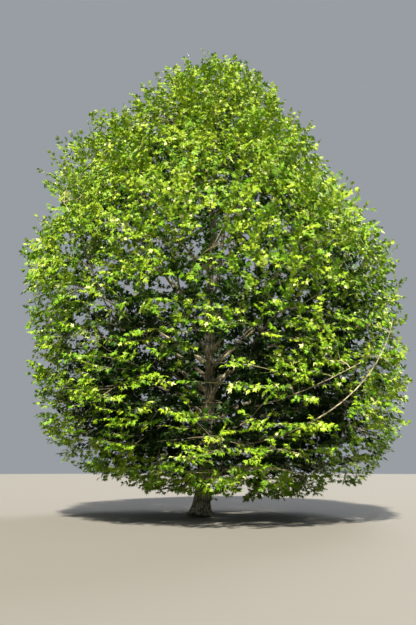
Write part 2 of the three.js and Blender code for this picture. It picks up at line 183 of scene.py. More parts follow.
# Places that the finer twigs leave open, seen from there: x and z where the line of sight passes
# the trunk, half the width and height, how far back it is open, and what is kept. Those that end
# near the trunk show it and the dark inside, and the others show the sky.
OPENINGS = [
    (350, 4600, 620, 1750, -300, 0.03),
    (270, 5000, 420, 1350, -300, 0),
    (-1000, 4300, 800, 600, 800, 0.2),
    (1500, 3900, 1000, 650, 800, 0.15),
    (2300, 2900, 1500, 480, 0, 0.2),
    (3900, 2300, 800, 380, 0, 0.25),
    (900, 2000, 900, 380, -1000, 0.25),
    (-2400, 2700, 600, 260, -1500, 0.4),
    (-3700, 6700, 850, 800, 9000, 0.05),
    (1150, 6000, 420, 380, 9000, 0.14),
    (-1300, 8000, 800, 330, 9000, 0.06),
    (-300, 9300, 420, 420, 9000, 0.05),
    (900, 9600, 330, 560, 9000, 0.05),
    (350, 8300, 300, 400, 9000, 0.1),
    (1700, 8700, 380, 320, 9000, 0.1),
    (-1400, 9600, 380, 300, 9000, 0.1),
    (250, 10900, 300, 380, 9000, 0.15),
    (-700, 11200, 260, 300, 9000, 0.2),
    (4700, 7100, 420, 330, 9000, 0.1),
    (-5000, 8400, 420, 500, 9000, 0.15),
    (-4400, 9600, 350, 380, 9000, 0.2),
    (3300, 9300, 320, 300, 9000, 0.15),
    (-2700, 9400, 300, 360, 9000, 0.15),
    (-2600, 7000, 380, 250, 9000, 0.15),
    (5600, 8900, 350, 420, 9000, 0.2),
    (-5300, 6100, 380, 420, 9000, 0.15),
    (-1700, 5600, 420, 260, 9000, 0.1),
    (5400, 5800, 420, 260, 9000, 0.2),
    (-4600, 9650, 560, 560, 9000, 0.12),
    (-3650, 8700, 560, 480, 9000, 0.12),
    (-4250, 5900, 600, 520, 9000, 0.12),
    (-2700, 7750, 520, 420, 9000, 0.12),
    (-2100, 5500, 420, 330, 9000, 0.12),
    (4300, 1500, 1800, 950, -900, 0.13),
    (-4480, 7690, 560, 330, 9000, 0.03),
    (-5000, 9370, 420, 440, 9000, 0.06),
    (-5800, 7320, 450, 380, 9000, 0.06),
    (-4250, 8710, 300, 300, 9000, 0.06),
    (-6250, 9450, 300, 260, 9000, 0.1),
]

# Limbs that the photograph shows among the leaves: four points along each, from inside the trunk or
# the limb it grows out of, and its radius at the foot and the tip. Few finer tips hide them.
SEEN_LIMBS = [
    ([(60, 0, 1150), (1050, -2600, 1450), (1900, -3900, 1550), (2800, -4100, 1350)], 50, 15),
    ([(70, 0, 1300), (800, -2500, 1750), (1500, -3900, 2050), (2600, -5200, 1900)], 34, 11),
    ([(110, 0, 2150), (2000, -3600, 2350), (3900, -5150, 3350), (5600, -3900, 5700)], 34, 9),
    ([(170, 0, 3300), (1500, -3300, 3250), (2700, -5000, 3500), (4200, -5400, 4200)], 32, 9),
    ([(240, 0, 4750), (800, -900, 5250), (1350, -1700, 5650), (2300, -3000, 6400)], 50, 16),
    ([(200, 0, 3900), (-750, -2000, 4350), (-1350, -3400, 4950), (-2300, -4700, 5900)], 36, 12),
    ([(-2500, -2000, 5850), (-3100, -2900, 6900), (-3550, -3400, 8200), (-4550, -2900, 10100)], 25, 9),
    ([(330, 0, 7900), (350, -1500, 9100), (650, -2300, 9900), (900, -2900, 11200)], 32, 10),
]
SEEN_FORKS = (0.35, 0.5, 0.62, 0.74, 0.85, 0.95)
VIEW_CLEARANCE = 260
VIEW_KEPT = 0.18

# Where a tip may end: how many places are tried, how far they are drawn outward, how deep a tip lies
# at least and at most, how low it may be, how far it stays inside its own space and off the limbs,
# how far it is drawn to wavy tiers, and how far the lowest ones hang. The source tries few places.
# The finer twigs that it leaves out try many, and fill more of the space.
SOURCE_TIPS = {
    "places": 60 * TIPS_PER_MASS,
    "pull": TIP_PULL,
    "least": (TIP_INSET, TIP_INSET),
    "deepest": (SHELL_DEPTH,) * 4,
    "lowest": CROWN_BOTTOM + 250,
    "margin": 150,
    "clearance": TIP_LIMB_CLEARANCE,
    "tier_pull": (TIER_PULL, TIER_PULL),
    "tier_wave": 0,
    "hang": 0,
}
FINE_TIPS = {
    "places": 60000,
    "pull": 0.3,
    "least": (190, 50),
    "deepest": (3800, 1900, 1900, 3000),
    "lowest": 520,
    "margin": 30,
    "clearance": 110,
    "tier_pull": (0.7, 0.35),
    "tier_wave": 800,
    "hang": 420,
}

# The heights between which twigs turn from level to free, and what a twig's rise costs low down. The
# heights that the four depths stand for, the height that tips hang below, and the tiers' waves.
LEVEL_HEIGHTS = (3500, 7000)
LEVEL_PULL = 2.2
DEEPEST_HEIGHTS = (5000, 8500, 10500, 12500)
HANG_HEIGHT = 3200
TIER_WAVE_SIZE = 1800

# The gaps between clumps of finer twigs: how deep they go at four heights, how much of the crown
# they take, and how wide and high a clump is
CLUMPED_HEIGHTS = (3000, 9000, 14000, 16000)
GAP_DEPTHS = (4200, 3400, 2600, 700)
GAP_SHARE = 0.1
CLUMP_WIDTH = 950
CLUMP_HEIGHT_LOW = 320
CLUMP_HEIGHT_HIGH = 1100
CLUMP_DROOP = 0.22

# The finer twigs: how many tips, how near each other, and where along its carrier one may fork off
MOST_FINE_TIPS = 640
FINE_SPACING = 250
SPACING_FALL = 10
INNER_DEPTH = 1300
INNER_SPACING = 0.3
FINE_FORKS = (0.3, 0.55, 0.8)
FINE_STEM_FORKS = (0.25, 0.55, 0.85)
FINE_BOUGH_FORKS = (0.3, 0.42, 0.52, 0.62, 0.72, 0.82, 0.9, 0.96)
FINE_TRUNK_FORKS = (0.8, 0.85, 0.9, 0.95)

# How far a twig keeps the way of what carries it, how thick it is, and the shoots that end the
# outermost twigs, most of them near the crown's top
STEM_BEND = 0.4
TWIG_BEND = 0.35
TWIG_TIP_RADIUS = 3.2
TWIG_THICKENING = 0.39
SHOOT_DEPTH = 700
TOP_HEIGHTS = (15000, 16300)
SHOOT_SHARES = (0.25, 1)
SHOOT_LENGTH = 500
SHOOT_LIFT = 1.5
HIGHEST_SHOOT = 17150
THICK_TWIG_LOAD = 12

# Where the photograph shows long shoots that stand out of the crown's left side, how much longer
# they are, and how little they lift
LONG_SHOOTS = {"azimuth": math.pi + 0.24, "z": 11300, "reach": 900, "spread": 1000, "lift": 0.1}

# The leaves: how far back from a twig's tip each one stands, and its turn from the twig's way
LEAF_LENGTH = 152
LEAF_PLACES = [
    (0, 6), (12, 52), (28, -54), (100, 72), (125, -66), (215, 56), (245, -62), (340, 50), (375, -48),
]
NEAREST_TO_FOOT = 0.15
LEAF_JITTER = 20
LEAF_STRAY = 0.22
LEAF_SIZES = (0.72, 1.14)
LEAF_WIDTHS = (0.88, 1.1)
LEAF_CUPS = (0.3, 2.2)
LEAF_DROOP = 0.35
FLUTTER_HEIGHTS = (3500, 7500)
LEAF_FLUTTER = (0.46, 0.52)
INNER_LEAF_GROWTH = (0.75, 0.2)
THREE_LOBE_DEPTH = 0.75 * INNER_DEPTH
LOW_LEAF_TILT = 2.0

# Where a leaf lies on its UV map: the scale and place of its outline, and where its veins meet
LEAF_MAP_SCALE = [0.9, 0.95]
LEAF_MAP_PLACE = [0.5, 0]
VEINS_MEET = (0.5, 0.14, 0)
VEIN_TURN = math.radians(24)

# Sides and rings of the limbs' meshes, and the furrows in their bark. Their pattern is stretched
# along the limb, starts elsewhere on each bough, and is weaker on thin limbs.
TRUNK_SIDES = 72
TRUNK_RINGS = 260
TRUNK_RING_SPREAD = 1.15
BOUGH_SIDES = 14
BOUGH_RINGS = 42
TRUNK_FURROW_GAP = 70
TRUNK_FURROW_DEPTH = 7
BOUGH_FURROW_GAP = 45
BOUGH_FURROW_DEPTH = 4
FULL_RELIEF_RADIUS = 120
BARK_STRETCH = 0.2
BARK_SHIFT = 700
FURROW_SLOPE = 3.2
PLATE_HEIGHT = 0.7
LUMP_SCALE = 0.31
LUMP_HEIGHT = 0.9
RING_WAY_STEP = 0.01

# A way that no twig runs along
SIDE_HINT = [0.31, 0.17, 0.93]

# The leaf tones: light and deep green, the vein, and the share of sprays low down, half-way up and
# at the top. Lighter tones have larger shares at the top and darker ones smaller: painted sunlight on the
# crown's top.
LEAF_TONES = {
    "leaves_lime": ("#a0b92a", "#889f1a", "#bccb58", 0.05, 0.05, 0.22),
    "leaves_spring_green": ("#91ad21", "#7b9715", "#afc44f", 0.2, 0.16, 0.26),
    "leaves_grass_green": ("#81a41c", "#6b8e10", "#a1ba47", 0.29, 0.28, 0.22),
    "leaves_meadow_green": ("#739c19", "#5d840e", "#93b33f", 0.26, 0.25, 0.16),
    "leaves_fresh_green": ("#689717", "#527d0e", "#88ad3c", 0.11, 0.15, 0.09),
    "leaves_deep_green": ("#5c8a14", "#46710b", "#7ba036", 0.09, 0.11, 0.05),
}
TONE_HEIGHTS = (2000, 6500, 13000)
STRAY_SHARE = 0.3
# Pale leaves: partly the pale undersides of turned leaves, and partly painted glints that stand in for the
# sun's highlights on waxy leaves
PALE_AND_GLINT_SHARE = 0.06
PALE_AND_GLINT_LEAVES = ("#c8d18c", "#aab95e", "#d8deab")
# Painted shade: dark tones dealt to leaves deep inside the crown, the darkest low down, so that its hollows
# look dark
PAINTED_SHADE_LEAVES = ("#2d500c", "#1c3806", "#43671d")
DEEP_PAINTED_SHADE_LEAVES = ("#1b3307", "#102304", "#29460f")

# Where the painted deep shade fades out upward, and at four heights how deep in the crown the painted shade
# begins and is full
DEEP_SHADE_HEIGHTS = (3000, 7500)
SHADED_HEIGHTS = (2500, 6000, 9000, 13000)
SHADE_FROM = (600, 750, 1000, 1600)
SHADE_FULL = (2000, 2200, 2400, 3400)


# A seeded run of numbers from 0 to 1, the same as the source draws
def seeded(seed):
    word = 0xFFFFFFFF
    state = seed & word

    def draw():
        nonlocal state
        state = (state + 0x6D2B79F5) & word
        mixed = ((state ^ (state >> 15)) * (1 | state)) & word
        mixed ^= (mixed + (((mixed ^ (mixed >> 7)) * (61 | mixed)) & word)) & word
        return (mixed ^ (mixed >> 14)) / 4294967296

    return draw


def mix(a, b, share):
    return a + (b - a) * share


def unit(vectors):
    return vectors / np.linalg.norm(vectors, axis=-1, keepdims=True)


# The crown's radius at a height, before the lobes of its masses
def crown_radius(z):
    above = np.clip((z - WIDEST_HEIGHT) / (TREE_TOP - WIDEST_HEIGHT), 0, 1)
    below = np.clip((WIDEST_HEIGHT - z) / (WIDEST_HEIGHT - CROWN_BOTTOM), 0, 1)
    high = (1 - above**SHOULDER) ** TOP_ROUNDNESS
    low = (1 - LOW_TAPER * below**2) * np.sqrt(1 - below**LOW_ROUNDNESS)
    inside = (z < TREE_TOP) & (z > CROWN_BOTTOM)
    return np.where(inside, WIDEST_RADIUS * np.where(z > WIDEST_HEIGHT, high, low), 0)


# How far the crown's middle stands to the right of the origin
def crown_axis(z):
    top = TOP_SKEW * (z / TREE_TOP) ** TOP_SKEW_POWER
    return CROWN_SHIFT + top + LOW_SKEW * np.maximum(0, 1 - z / LOW_SKEW_HEIGHT)


# How near points stand to a place on the crown's side, from 0 far off to 1 there
def nearness(p, place):
    to_place = np.cos(np.arctan2(p[..., 1], p[..., 0] - crown_axis(p[..., 2])) - place["azimuth"])
    level = np.exp(-(((p[..., 2] - place["z"]) / place["spread"]) ** 2))
    return level * np.maximum(0, to_place) ** 3


# How deep points lie inside the envelope, and below 0 outside it
def crown_depth(p):
    x, y, z = p[..., 0] - crown_axis(p[..., 2]), p[..., 1], p[..., 2]
    radius = crown_radius(z) + LEFT_SHOULDER["reach"] * nearness(p, LEFT_SHOULDER)
    slope = (crown_radius(z + SLOPE_STEP) - crown_radius(z - SLOPE_STEP)) / (2 * SLOPE_STEP)
    depth = (radius - np.hypot(x, y)) / np.sqrt(1 + slope * slope)
    return np.where(crown_radius(z) > 0, depth, -1)


# The trunk's centre line and radius
def trunk_point(z):
    turn = z / TRUNK_TOP * math.pi
    return np.array([
        TRUNK_LEAN * z + TRUNK_SWAY * math.sin(2 * turn),
        TRUNK_SWAY * math.sin(3 * turn) * TRUNK_SIDE_SWAY,
        z,
    ])


def trunk_radius(z):
    left = (1 - z / TRUNK_TOP) ** TRUNK_TAPER
    return mix(TRUNK_TIP_RADIUS, TRUNK_FOOT_RADIUS, left) + FLARE_RADIUS * math.exp(-z / FLARE_HEIGHT)


# The sites of the masses: a spiral of equal shares of the envelope, and one at the top
def mass_sites():
    heights = np.arange(LOWEST_MASS, HIGHEST_MASS, SITE_STEP)
    sums = np.concatenate([[0], np.cumsum(crown_radius(heights))])
    chance = seeded(SITE_SEED)
    sites = []
    for k in range(BOUGH_COUNT):
        share = (k + 0.5) / BOUGH_COUNT * sums[-1]
        z = heights[np.searchsorted(sums, share) - 1] + mix(-SITE_HEIGHT_PLAY, SITE_HEIGHT_PLAY, chance())
        azimuth = k * GOLDEN_ANGLE + mix(-SITE_TURN_PLAY, SITE_TURN_PLAY, chance())
        radius = crown_radius(z)
        out = radius - min(MASS_INSET, radius * MOST_INSET_SHARE)
        sites.append([crown_axis(z) + out * math.cos(azimuth), out * math.sin(azimuth), z])
    sites.append([crown_axis(TREE_TOP) - TOP_SITE_SHIFT, 0, TREE_TOP - TOP_MASS_DROP])
    return np.array(sites, float)


# A point, and the way, at a share along a curve given by its control points
def curve_point(points, t):
    t = np.asarray(t, float)[..., None]
    while len(points) > 1:
        points = [mix(a, b, t) for a, b in zip(points, points[1:])]
    return points[0]


def curve_way(points, t):
    return unit(curve_point([b - a for a, b in zip(points, points[1:])], t))


# One bough: a curve from the trunk's centre line to where it enters its mass. Low boughs leave
# level and arch over, high ones sweep up, and each sways a little to one side and back.
def bough_limb(site, index):
    share = np.clip((site[2] - LOWEST_MASS) / (HIGHEST_MASS - LOWEST_MASS), 0, 1)
    rise = mix(LOW_RISE, HIGH_RISE, share)
    arch = mix(LOW_ARCH, HIGH_ARCH, share)
    run = math.hypot(site[0] - crown_axis(site[2]) * RUN_AXIS_SHARE, site[1])
    height = float(np.clip(site[2] - run * math.tan(rise), BOUGH_LOWEST, BOUGH_HIGHEST))
    start = trunk_point(height)
    tip = site - unit(site - start) * MASS_REACH_IN
    across = tip - start
    span = np.linalg.norm(across)
    chord = math.atan2(across[2], math.hypot(across[0], across[1]))
    heading = unit(across * [1, 1, 0])
    sideways = np.array([-heading[1], heading[0], 0]) * span * BOUGH_SWAY * (1 if index % 2 else -1)

    def toward(angle):
        return heading * math.cos(angle) + UP * math.sin(angle)

    points = [
        start,
        start + toward(chord + arch) * span * FOOT_HANDLE + sideways,
        tip - toward(chord - arch * TIP_ARCH) * span * TIP_HANDLE - sideways,
        tip,
    ]
    thick = np.clip(trunk_radius(height) * BOUGH_SHARE, BOUGH_THINNEST, BOUGH_THICKEST)
    collar_start = trunk_radius(height) * COLLAR_START

    def radius_at(t):
        swell = 1 + COLLAR_SWELL * math.exp(-max(0, t * span - collar_start) / COLLAR_LENGTH)
        return mix(thick, BOUGH_TIP_RADIUS, t**BOUGH_TAPER) * swell

    inside = trunk_radius(height) * BOUGH_FOOT_INSIDE / span
    return {"points": points, "radius_at": radius_at, "from": inside, "span": span}


# A limb that the photograph shows, as a curve that passes its four points at even shares
def seen_limb(places, thick, thin):
    a, b, c, d = np.array(places, float)
    points = [a, (18 * b - 5 * a - 9 * c + 2 * d) / 6, (18 * c - 5 * d - 9 * b + 2 * a) / 6, d]
    span = np.linalg.norm(d - c) + np.linalg.norm(c - b) + np.linalg.norm(b - a)
    return {"points": points, "radius_at": lambda t: mix(thick, thin, t), "from": 0, "span": span}


# The first points of a limb's line, cut in equal shares, each with its radius
def limb_line(limb, shares, count):
    return np.array([
        [*curve_point(limb["points"], i / shares), limb["radius_at"](i / shares)] for i in range(count)
    ])


# How far points stand within the space of a mass: nearer its own site than any other
def room_in_cell(p, index, sites):
    others = np.delete(sites, index, axis=0)
    gaps = others - sites[index]
    ways = unit(gaps)
    middles = sites[index] + gaps / 2
    return ((middles * ways).sum(1) - p @ ways.T).min(axis=-1)


# The share of the source's tips that a point keeps: 1, or less in a thin place
def thinning(p):
    keep = np.ones(len(p))
    for x, y, z, wide, deep, kept in THIN_PLACES:
        near = (np.hypot(p[:, 0] - x, p[:, 2] - z) < wide) & (np.abs(p[:, 1] - y) < deep)
        keep = np.where(near, np.minimum(keep, kept), keep)
    return keep


# Where the eye sees points: the place where the line of sight passes the trunk
def seen_at(p):
    return EYE + (p - EYE) * (EYE[1] / (EYE[1] - p[:, 1]))[:, None]


# The share of finer tips that a point keeps: 1, or less in an opening or before a seen limb
def opening(p, seen_lines):
    seen = seen_at(p)
    keep = np.ones(len(p))
    for line in seen_lines:
        gaps = np.linalg.norm(seen[:, None] - seen_at(line[:, :3]), axis=2)
        hides = (gaps.min(axis=1) < VIEW_CLEARANCE) & (p[:, 1] < line[gaps.argmin(axis=1), 1])
        keep = np.where(hides, VIEW_KEPT, keep)
    for x, z, wide, high, back, kept in OPENINGS:
        near = (np.hypot((seen[:, 0] - x) / wide, (seen[:, 2] - z) / high) < 1) & (p[:, 1] < back)
        keep = np.where(near, np.minimum(keep, kept), keep)
    return keep


# Low foliage lies in drooping tiers, wavy ones for the finer twigs
def pull_to_tier(p, site, pull, waves):
    out = np.hypot(p[:, 0], p[:, 1]) - math.hypot(site[0], site[1])
    base = site[2] - TIER_DROOP * out + waves
    tier = base + np.floor((p[:, 2] - base) / TIER_SPACING + 0.5) * TIER_SPACING
    pulled = p.copy()
    pulled[:, 2] = np.where(p[:, 2] > TIER_TOP, p[:, 2], mix(p[:, 2], tier, pull))
    return pulled


# A smooth random number from about -1 to 1 at each point
def noises(points):
    return np.array([noise.noise(Vector(point)) for point in points]) * 2


# Above 0 in the gaps between clumps of finer twigs. Low clumps are flat and droop outward, and
# higher ones are as high as wide.
def between_clumps(p):
    drooped = p[:, 2] + CLUMP_DROOP * np.hypot(p[:, 0], p[:, 1])
    growth = (CLUMP_HEIGHT_HIGH - CLUMP_HEIGHT_LOW) / TREE_TOP
    level = np.log1p(growth * drooped / CLUMP_HEIGHT_LOW) / growth
    return noises(np.stack([p[:, 0] / CLUMP_WIDTH, p[:, 1] / CLUMP_WIDTH, level], axis=1)) + GAP_SHARE


# The outward way at a point of the crown
def outward_at(p):
    x, y, z = p[..., 0], p[..., 1], p[..., 2]
    return unit(np.stack([x - crown_axis(z), y, (z - OUTWARD_LEVEL) * OUTWARD_LEAN], axis=-1))


# Places from an even sequence, drawn outward, with whether a tip of this kind may end at each
def tip_places(index, sites, limbs, kind):
    site = sites[index]
    i = np.arange(1, kind["places"])
    spots = [((shift * index + i * rate) % 1 * 2 - 1) * SEARCH_RADIUS for shift, rate in SEQUENCE]
    tips = np.stack(spots, axis=1) + site
    waves = kind["tier_wave"] * noises(tips / TIER_WAVE_SIZE)
    pull = np.interp(tips[:, 2], LEVEL_HEIGHTS, kind["tier_pull"])
    tips = pull_to_tier(tips, site, pull, waves)
    tips += outward_at(tips) * (kind["pull"] * np.maximum(0, crown_depth(tips) - TIP_INSET))[:, None]
    depth = crown_depth(tips)
    lobe = LOBE_DEPTH * np.minimum(1, np.linalg.norm(tips - site, axis=1) / LOBE_SPREAD) ** 2
    least = np.interp(tips[:, 2], TOP_HEIGHTS, kind["least"])
    free = (depth > least + lobe) & (tips[:, 2] > kind["lowest"])
    free &= depth < np.interp(tips[:, 2], DEEPEST_HEIGHTS, kind["deepest"])
    free &= room_in_cell(tips, index, sites) > kind["margin"]
    held = np.flatnonzero(free)
    lines = limbs[:, :3]
    squares = (tips[held] ** 2).sum(axis=1)[:, None] + (lines**2).sum(axis=1) - 2 * tips[held] @ lines.T
    gaps = (np.sqrt(np.maximum(squares, 0)) - limbs[:, 3]).min(axis=1)
    free[held] = gaps > kind["clearance"]
    tips[:, 2] -= kind["hang"] * np.clip(1 - tips[:, 2] / HANG_HEIGHT, 0, 1)
    return tips, free, depth - lobe


# The twigs of a mass. Tips come from an even sequence of points, and each grows a twig from the
# part of the mass that already stands and lies best on its way. The source's own come first.
def grow_twigs(index, sites, foot, foot_heading, bough_forks, limbs, seen_lines):
    site = sites[index]
    most = MOST_FINE_TIPS + TIPS_PER_MASS + 1
    most_forks = most * len(FINE_FORKS) + len(STEM_FORKS) + len(FINE_STEM_FORKS) + len(bough_forks)
    places, headings, paths = np.zeros((most_forks, 3)), np.zeros((most_forks, 3)), np.zeros(most_forks)
    ends = np.zeros((most, 3))
    owners = []
    twigs = []

    def add_fork(place, heading, path, owner):
        n = len(owners)
        places[n], headings[n], paths[n] = place, heading, path
        owners.append(owner)

    def add_twig(start, heading, tip, bend, parent, path, forks):
        span = np.linalg.norm(tip - start)
        curve = [start, start + heading * span * bend, tip]
        ends[len(twigs)] = tip
        twigs.append({"curve": curve, "span": span, "parent": parent, "path": path, "roll": 0.5})
        add_forks(len(twigs) - 1, forks)

    def add_forks(which, shares):
        twig = twigs[which]
        for t in shares:
            path = twig["path"] + twig["span"] * t
            add_fork(curve_point(twig["curve"], t), curve_way(twig["curve"], t), path, (which, t))

    def crowded(tip, spacing):
        return np.linalg.norm(ends[: len(twigs)] - tip, axis=1).min() < spacing

    def grow_to(tip, end, roll, forks, level=0):
        known = len(owners)
        ways = tip - places[:known]
        spans = np.maximum(np.linalg.norm(ways, axis=1), 1)
        turns = (ways * headings[:known]).sum(axis=1) / spans
        costs = spans * (1 + TURN_COST - TURN_COST * turns) + PATH_COST * paths[:known]
        costs = np.where(spans < SHORTEST_TWIG, np.inf, costs) + level * np.abs(ways[:, 2])
        best = int(costs.argmin())
        heading = unit(headings[best] * FORK_KEEPS_WAY + ways[best] / spans[best] + UP * TWIG_LIFT)
        add_twig(places[best].copy(), heading, end, TWIG_BEND, owners[best], paths[best], forks)
        twigs[-1]["roll"] = roll

    reach = TOP_STEM_REACH if index == BOUGH_COUNT else STEM_REACH
    add_twig(foot, foot_heading, site + outward_at(site) * reach, STEM_BEND, None, 0, STEM_FORKS)
    chance = seeded(TWIG_SEED + index)
    tips, free, _ = tip_places(index, sites, limbs, SOURCE_TIPS)
    keeps = thinning(tips)
    for tip, is_free, keep in zip(tips, free, keeps):
        if len(twigs) > TIPS_PER_MASS:
            break
        if chance() > keep or not is_free:
            continue
        if not crowded(tip, TIP_SPACING / np.cbrt(1 + (len(twigs) - 1) / TIPS_PER_MASS)):
            grow_to(tip, tip, chance(), TWIG_FORKS)

    add_forks(0, FINE_STEM_FORKS)
    for place, heading in bough_forks:
        if room_in_cell(place, index, sites) > 0:
            add_fork(place, heading, 0, None)
    tips, free, depth = tip_places(index, sites, np.concatenate([limbs, *seen_lines]), FINE_TIPS)
    spread = 1 + INNER_SPACING * np.maximum(0, depth - INNER_DEPTH) / METRE
    held = np.flatnonzero(free)
    evened = np.interp(tips[held, 2], CLUMPED_HEIGHTS, GAP_DEPTHS)
    held = held[depth[held] > evened * between_clumps(tips[held])]
    keeps = opening(tips[held], seen_lines)
    for tried, (k, keep) in enumerate(zip(held, keeps)):
        if len(twigs) == most:
            break
        tip = tips[k]
        if chance() > keep:
            continue
        spacing = max(FINE_SPACING, TIP_SPACING / np.cbrt(1 + tried / SPACING_FALL)) * spread[k]
        if crowded(tip, spacing):
            continue
        roll = chance()
        long_shoot = nearness(tip, LONG_SHOOTS)
        shoot = chance() / max(long_shoot, np.interp(tip[2], TOP_HEIGHTS, SHOOT_SHARES))
        end = tip
        if shoot < 1 and depth[k] < SHOOT_DEPTH:
            reach = mix(SHOOT_LENGTH, SHOOT_LENGTH + LONG_SHOOTS["reach"], long_shoot)
            lift = mix(SHOOT_LIFT, LONG_SHOOTS["lift"], long_shoot)
            end = tip + unit(outward_at(tip) + UP * lift) * reach * shoot
            end[2] = min(end[2], HIGHEST_SHOOT)
        grow_to(tip, end, roll, FINE_FORKS, LEVEL_PULL * np.interp(tip[2], LEVEL_HEIGHTS, (1, 0)))
    return twigs


# A twig is as thick as what it carries asks for: each tip beyond a place counts as one
def set_twig_loads(twigs):
    for twig in twigs:
        twig["forks"] = []
        twig["load"] = 1
    for twig in reversed(twigs):
        if twig["parent"]:
            carrier, t = twig["parent"]
            twigs[carrier]["forks"].append((t, twig["load"]))
            twigs[carrier]["load"] += twig["load"]


def twig_radius(twig, t):
    beyond = 1 + sum(load for fork, load in twig["forks"] if fork >= t)
    return TWIG_TIP_RADIUS * beyond**TWIG_THICKENING


# Points turned about axes by angles
def turned(vectors, axes, angles):
    cos, sin = np.cos(angles)[..., None], np.sin(angles)[..., None]
    along = (vectors * axes).sum(axis=-1, keepdims=True)
    return vectors * cos + np.cross(axes, vectors) * sin + axes * along * (1 - cos)


# The side that a twig's leaves face: outward and up, square to the twig, rolled a little
def twig_facing(curves, rolls):
    along = curve_way(curves, 1.0)
    height = np.clip(curves[-1][:, 2:] / WIDEST_HEIGHT, 0, 1)
    facing = outward_at(curves[-1]) + UP * mix(LOW_LEAF_TILT, SPRAY_TILT, height)
    facing = unit(facing - along * (facing * along).sum(axis=1, keepdims=True))
    return turned(facing, along, (rolls - 0.5) * SPRAY_ROLL)


# One object from arrays of corners and triangles, made in metres. Leaves have UV places too.
def joined_object(name, corners, triangles, material, uv_name=None, uv=None):
    mesh = bpy.data.meshes.new(name)
    mesh.vertices.add(len(corners))
    mesh.vertices.foreach_set("co", (corners / METRE).astype(np.float32).ravel())
    mesh.loops.add(triangles.size)
    mesh.loops.foreach_set("vertex_index", triangles.astype(np.int32).ravel())
    mesh.polygons.add(len(triangles))
    mesh.polygons.foreach_set("loop_start", np.arange(0, triangles.size, 3, dtype=np.int32))
    if uv is not None:
        layer = mesh.uv_layers.new(name=uv_name)
        layer.data.foreach_set("uv", uv[triangles.ravel()].astype(np.float32).ravel())
    mesh.materials.append(material)
    mesh.update(calc_edges=True)
    mesh.validate()
    piece = bpy.data.objects.new(name, mesh)
    bpy.context.scene.collection.objects.link(piece)
    return piece


# Twigs as open tubes with a ring of corners at each of the given shares along them
def twig_tubes(twigs, shares, sides):
    curves = [np.array([twig["curve"][k] for twig in twigs])[:, None] for k in range(3)]
    t = np.array(shares)[None, :].repeat(len(twigs), axis=0)
    middles = curve_point(curves, t)
    ways = curve_way(curves, t)
    radii = np.array([[twig_radius(twig, share) for share in shares] for twig in twigs])
    side = unit(np.cross(ways, SIDE_HINT))
    across = np.cross(ways, side)
    angles = np.arange(sides) * 2 * math.pi / sides
    ring = side[:, :, None] * np.cos(angles)[:, None] + across[:, :, None] * np.sin(angles)[:, None]
    corners = middles[:, :, None] + ring * radii[:, :, None, None]
    rings = len(shares)
    near = np.arange(sides)
    far = (near + 1) % sides
    quads = []
    for k in range(rings - 1):
        low, high = k * sides, (k + 1) * sides
        quads += list(zip(low + near, low + far, high + far))
        quads += list(zip(low + near, high + far, high + near))
    first = np.arange(len(twigs))[:, None, None] * rings * sides
    return corners.reshape(-1, 3), (np.array(quads)[None] + first).reshape(-1, 3)


# A leaf's outline, across and along from its stalk, with how far each corner stands off its plane.
# Outer leaves have five lobes. Inner ones, which hardly show, have their three main lobes only.
FIVE_LOBES = np.array([
    (0, 0, 0),
    (0.31, 0.24, -0.05),
    (0.15, 0.4, 0.01),
    (0.5, 0.6, -0.1),
    (0.13, 0.64, 0),
    (0, 1.05, -0.14),
    (-0.13, 0.64, 0),
    (-0.5, 0.6, -0.1),
    (-0.15, 0.4, 0.01),
    (-0.31, 0.24, -0.05),
])
FIVE_LOBE_FACES = np.array([
    (0, 1, 2), (2, 3, 4), (4, 5, 6), (6, 7, 8), (8, 9, 0), (0, 2, 4), (0, 4, 6), (0, 6, 8),
])
THREE_LOBES = np.array([
    (0, 0, 0),
    (0.48, 0.5, -0.09),
    (0.16, 0.62, 0),
    (0, 1.05, -0.14),
    (-0.16, 0.62, 0),
    (-0.48, 0.5, -0.09),
])
THREE_LOBE_FACES = np.array([(0, 1, 2), (2, 3, 4), (4, 5, 0), (0, 2, 4)])


# The tone of each leaf, as its place in the list of tones. Tones are dealt out by spray with a few
# strays: lighter ones at the top, as painted sunlight; a few pale leaves, partly pale undersides and
# partly painted glints; and dark leaves deep inside, as painted shade.
def deal_tones(tips, chance):
    heights = tips[:, 2]
    # Lighter tones take larger shares at the top: painted sunlight on the crown's top
    shares = [np.interp(heights, TONE_HEIGHTS, tone[3:]) for tone in LEAF_TONES.values()]
    shares = np.cumsum(np.stack(shares, axis=1), axis=1)
    by_spray = (chance.random((len(tips), 1)) * shares[:, -1:] > shares).sum(axis=1)
    dealt = np.repeat(by_spray[:, None], len(LEAF_PLACES), axis=1)
    stray = chance.random(dealt.shape) < STRAY_SHARE
    moved = np.clip(dealt + chance.integers(-1, 2, dealt.shape), 0, len(LEAF_TONES) - 1)
    dealt = np.where(stray, moved, dealt)
    # A few leaves get the pale tone: partly pale undersides, and partly painted glints
    dealt[chance.random(dealt.shape) < PALE_AND_GLINT_SHARE] = len(LEAF_TONES)
    # Painted shade: leaves deep in the crown get a dark tone, and the darkest one low down
    shade_from = np.interp(heights, SHADED_HEIGHTS, SHADE_FROM)
    shade_full = np.interp(heights, SHADED_HEIGHTS, SHADE_FULL)
    shaded = (crown_depth(tips) - shade_from) / (shade_full - shade_from) > chance.random(len(tips))
    deep_shaded = np.interp(heights, DEEP_SHADE_HEIGHTS, (1, 0)) > chance.random(len(tips))
    dealt[shaded] = len(LEAF_TONES) + 1
    dealt[shaded & deep_shaded] = len(LEAF_TONES) + 2
    return dealt


